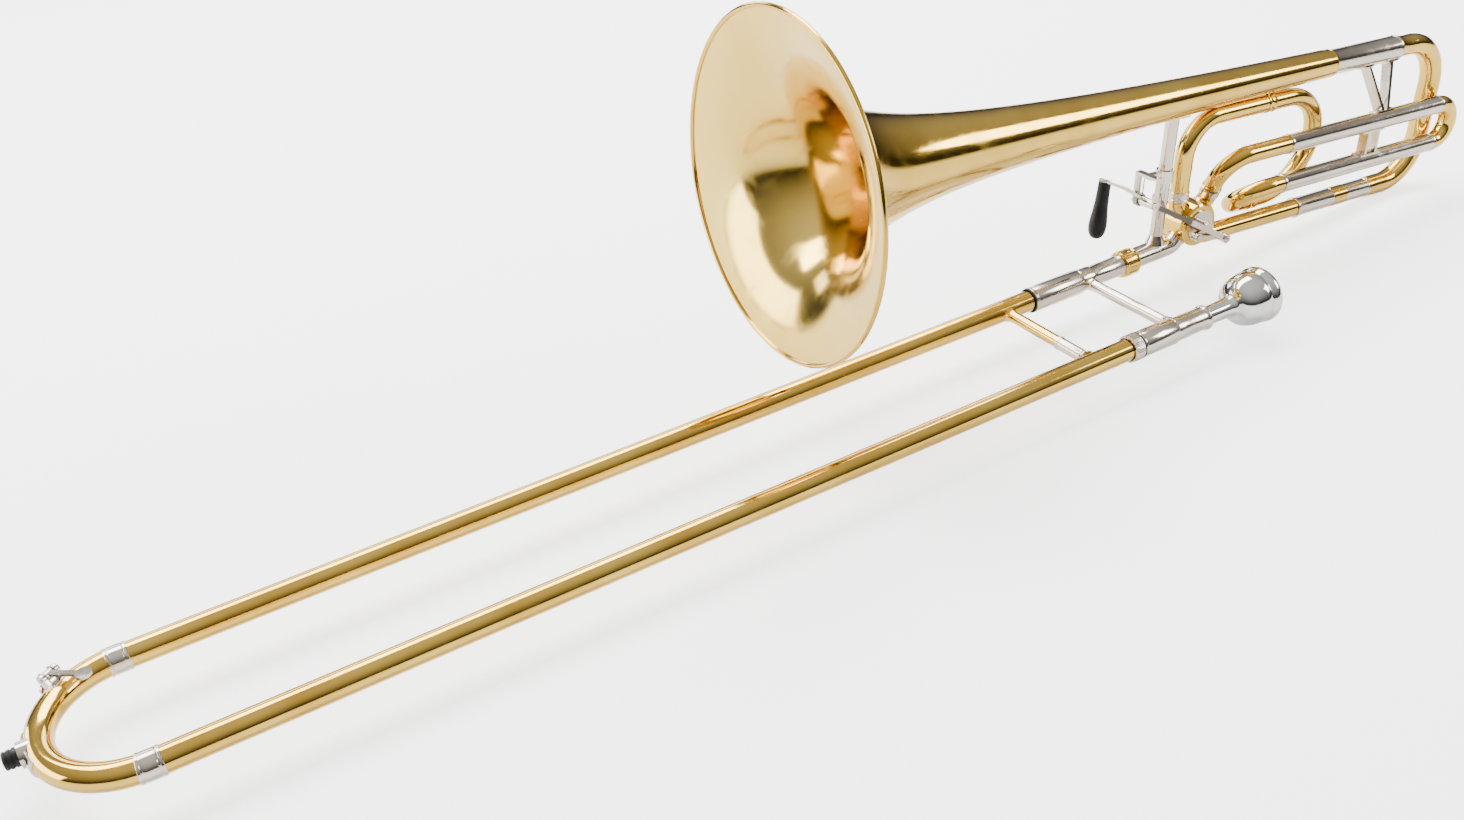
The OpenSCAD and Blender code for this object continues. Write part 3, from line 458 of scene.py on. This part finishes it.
# The two tuning slides: brass bows with a short cone at each mouth, on nickel legs.
line = route([[344.9, 0, 0], [398.5, 0, 0], [398.5, 0, LOOP_W], [344.9, 0, LOOP_W]],
             [0, 36, 36, 0], loop)
n = along(line)
mouth = [(0, 7.2), (0.3, 7.55), (3, 7.75), (7.5, 8.0), (n - 8, 8.0), (n - 4, 8.6), (n - 0.4, 9.3),
         (n, 9.0)]
tube("main_bow_skin", line, mouth, 6.2, BRASS, "main_tuning_slide", ["main_bow"])
tube("main_leg_low", loop([[276, 0, 0], [345, 0, 0]]), [(0, 6.5), (0.2, 6.7), (69, 6.7)], 6.2, NICKEL,
     "main_tuning_slide", ["main_legs"])
tube("main_leg_high", loop([[276, 0, LOOP_W], [345, 0, LOOP_W]]), [(0, 8.6), (0.2, 8.8), (69, 8.8)],
     8.2, NICKEL, "main_tuning_slide")
line = route([[389, -18, 65], [405.55, -18, 65], [405.55, -18, 34.5], [389, -18, 34.5]],
             [0, 15.25, 15.25, 0], loop)
n = along(line)
tube("f_bow_skin", line, [(0, 6.5), (0.2, 6.9), (1.6, 6.9), (1.9, 6.7), (n - 1.9, 6.7), (n - 1.6, 6.9),
     (n - 0.2, 6.9), (n, 6.5)], 5.9, BRASS, "f_tuning_slide", ["f_bow"])
for name, z, nodes in (("f_leg_high", 65.0, ["f_legs"]), ("f_leg_low", 34.5, [])):
    tube(name, loop([[262, -18, z], [389, -18, z]]), [(0, 6.1), (0.2, 6.3), (127, 6.3)], 5.9, NICKEL,
         "f_tuning_slide", nodes)


# ---------------------------------------------------------------- small turned parts
# The lock nut: brass, a bead at each end and twelve flat-topped ribs between, cut by milling.
a = np.linspace(0, 2 * np.pi, 288, endpoint=False)
rib = np.clip(4 * np.cos(12 * a) - 0.6, 0, 1)
rows = [(82.6, 8.8, 0), (83.2, 9.5, 0), (84.0, 9.7, 0), (84.8, 9.5, 0), (85.2, 9.05, 0), (85.8, 9.1, 0.7),
        (93.2, 9.1, 0.7), (93.8, 9.05, 0), (94.3, 9.5, 0), (95.0, 9.65, 0), (95.7, 9.3, 0),
        (96.2, 8.4, 0), (96.2, 6.9, 0), (91, 6.9, 0), (91, 8.12, 0), (82.6, 8.12, 0)]
verts = [np.stack([np.full(288, x), (r + k * rib) * np.cos(a), (r + k * rib) * np.sin(a)], -1)
         for x, r, k in rows]
piece("bell_lock_nut_skin", slide(np.concatenate(verts)), wound(len(rows), 288, True), BRASS,
      "bell_lock_nut", ["bell_lock_nut"])

# The valve's screw cap at the back: brass, a coin-edge knurl and a shallow dish with a centre boss.
a = np.linspace(0, 2 * np.pi, 240, endpoint=False)
edge = 0.14 * np.cos(60 * a)
rows = [(12.52, 16.9, 0), (12.8, 17.2, 0.3), (13.2, 17.25, 1), (15.6, 17.25, 1), (16.0, 17.0, 0.3),
        (16.8, 16.2, 0), (17.0, 15.0, 0), (16.7, 13.8, 0), (16.6, 9.0, 0), (17.4, 7.4, 0),
        (18.1, 6.4, 0), (18.4, 5.0, 0), (18.4, 0.0, 0)]
verts = [np.stack([149 + (r + k * edge) * np.cos(a), np.full(240, y),
                   14.5 + (r + k * edge) * np.sin(a)], -1) for y, r, k in rows]
piece("valve_cap_skin", loop(np.concatenate(verts)), wound(len(rows), 240, False), BRASS,
      "bell_and_inner_slide", ["valve_cap"])

# The thumb pad: a pear of black plastic hanging from the end of the lever.
# Moulded plastic: black, with weak reflections.
PLASTIC = finish("black plastic", "#040404", "#070707", 0.3, metallic=0.0,
                 shine=0.25)
profile = [(0.6, 0), (0.6, 3.9), (1.0, 4.25), (3, 4.4), (10, 4.5), (18, 4.9), (24, 5.5), (29, 6.1),
           (33, 6.35), (36, 6.15), (38.5, 5.6), (40.6, 4.6), (42, 3.2), (42.7, 1.4), (42.8, 0)]
turned("thumb_pad_skin", profile, [59.8, 0.3, 64.2],
       [np.sin(np.radians(-4)), 0, -np.cos(np.radians(4))], PLASTIC, "thumb_lever", ["thumb_pad"],
       place=loop)


# ---------------------------------------------------------------- small fitted parts
# Stamped and milled pieces keep their exact shape and get broken edges and a real finish.
# Drawn spring steel: darker than the nickel and softly streaked.
STEEL = finish("drawn steel", "#B8B6B2", "#96938E", 0.25)
# Cork: brown and matt, with mottling of about 1 mm and a finer grain in relief.
CORK = finish("cork", "#8A6844", "#4E3520", 0.85, metallic=0.0, drift=900.0,
              grain=3000.0, bump=0.6)


def dress(name, material, width=0.25):
    """Gives a CAD part its finish and rounds its edges by width millimetres."""
    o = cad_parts[name]
    o.data.materials.clear()
    o.data.materials.append(material)
    b = o.modifiers.new("edges", "BEVEL")
    b.width, b.segments, b.limit_method, b.angle_limit = width / 1000, 2, "ANGLE", np.radians(40)
    b.use_clamp_overlap, b.harden_normals = True, False


for name in ("bell_brace", "valve_plate", "v_brace", "f_sleeve_brace", "lever_bracket", "lever_axle",
             "stop_arm", "link_rod", "thumb_lever", "bumper_seat", "water_key_saddle",
             "water_key_lever"):
    dress(name, NICKEL)
for name in ("valve_casing", "rotor"):
    dress(name, BRASS)
for name in ("lever_spring", "water_key_spring", "water_key_screw"):
    dress(name, STEEL, 0.1)
for name in ("barrel_corks", "stop_corks", "water_key_cork"):
    dress(name, CORK, 0.2)


# ---------------------------------------------------------------- floor, light and camera
# A pale seamless floor, an overhead bank, three more round the object, and a dim room whose
# darkness shows in the metal as the deep bands along each tube. The camera sees the floor and the
# room brighter than the metal reflects them, which keeps the background near white.
floor_z = float(cad_low[2]) - 0.001
bpy.ops.mesh.primitive_plane_add(size=14, location=(0, 1.0, floor_z))
floor = bpy.context.active_object
floor.name = "floor"
paper = bpy.data.materials.new("pale paper")
paper.use_nodes = True
tree = paper.node_tree
tree.nodes.clear()
seen = add(tree, "LightPath").outputs["Is Camera Ray"]
glow = add(tree, "MapRange", _0=seen, _1=0.0, _2=1.0, _3=0.05, _4=2.4).outputs[0]
sheet = add(tree, "BsdfPrincipled", Base_Color=rgb("#F7F7F8"), Roughness=0.9,
            Emission_Strength=glow)
sheet.inputs["Specular IOR Level"].default_value = 0.1
sheet.inputs["Emission Color"].default_value = rgb("#FFFFFF")
add(tree, "OutputMaterial", Surface=sheet.outputs[0])
floor.data.materials.append(paper)

for name, at, to, size, watts in (
    ("overhead", (-0.1, 1.1, 1.7), (-0.15, 0, 0), (2.6, 1.0), 100),
    ("left bank", (-2.3, 1.0, 0.5), (-0.2, 0.05, 0.14), (2.4, 0.9), 55),
    ("right bank", (1.9, -1.2, 1.3), (0.1, 0, 0.05), (0.9, 0.9), 30),
    ("back bank", (0.2, 2.6, 1.0), (-0.1, 0, 0.05), (3.0, 0.7), 35),
):
    lamp = bpy.data.lights.new(name, "AREA")
    lamp.shape, lamp.size, lamp.size_y, lamp.energy = "RECTANGLE", *size, watts
    o = bpy.data.objects.new(name, lamp)
    o.location = at
    away = np.array(at, float) - np.array(to, float)
    z = away / np.linalg.norm(away)
    x = np.cross([0.0, 1.0, 0.0] if abs(z[2]) > 0.9 else [0.0, 0.0, 1.0], z)
    x /= np.linalg.norm(x)
    o.rotation_euler = Matrix(np.stack([x, np.cross(z, x), z], -1).tolist()).to_euler()
    bpy.context.scene.collection.objects.link(o)

world = bpy.data.worlds.new("room")
world.use_nodes = True
tree = world.node_tree
tree.nodes.clear()
up = add(tree, "SeparateXYZ", Vector=add(tree, "TexCoord").outputs["Generated"]).outputs[2]
high = add(tree, "MapRange", _0=up, _1=0.1, _2=0.95, _3=0.04, _4=0.9).outputs[0]
seen = add(tree, "LightPath").outputs["Is Camera Ray"]
dim = add(tree, "Background", Color=rgb("#FFFDFA"), Strength=high).outputs[0]
pale = add(tree, "Background", Color=rgb("#FFFFFF"), Strength=3.0).outputs[0]
add(tree, "OutputWorld", Surface=add(tree, "MixShader", _0=seen, _1=dim, _2=pale).outputs[0])
bpy.context.scene.world = world

cam = bpy.data.cameras.new("camera")
cam.lens, cam.sensor_width = 34.72, 36.0
eye = bpy.data.objects.new("camera", cam)
right, down, ahead = (0.8599, -0.5027, -0.0890), (-0.3360, -0.4262, -0.8399), (0.3843, 0.7521, -0.5354)
turn = Matrix(np.stack([right, -np.array(down), -np.array(ahead)], -1).tolist())
eye.matrix_world = Matrix.Translation((-0.6361, -0.62835, 0.4853)) @ turn.to_4x4()
bpy.context.scene.collection.objects.link(eye)
bpy.context.scene.camera = eye
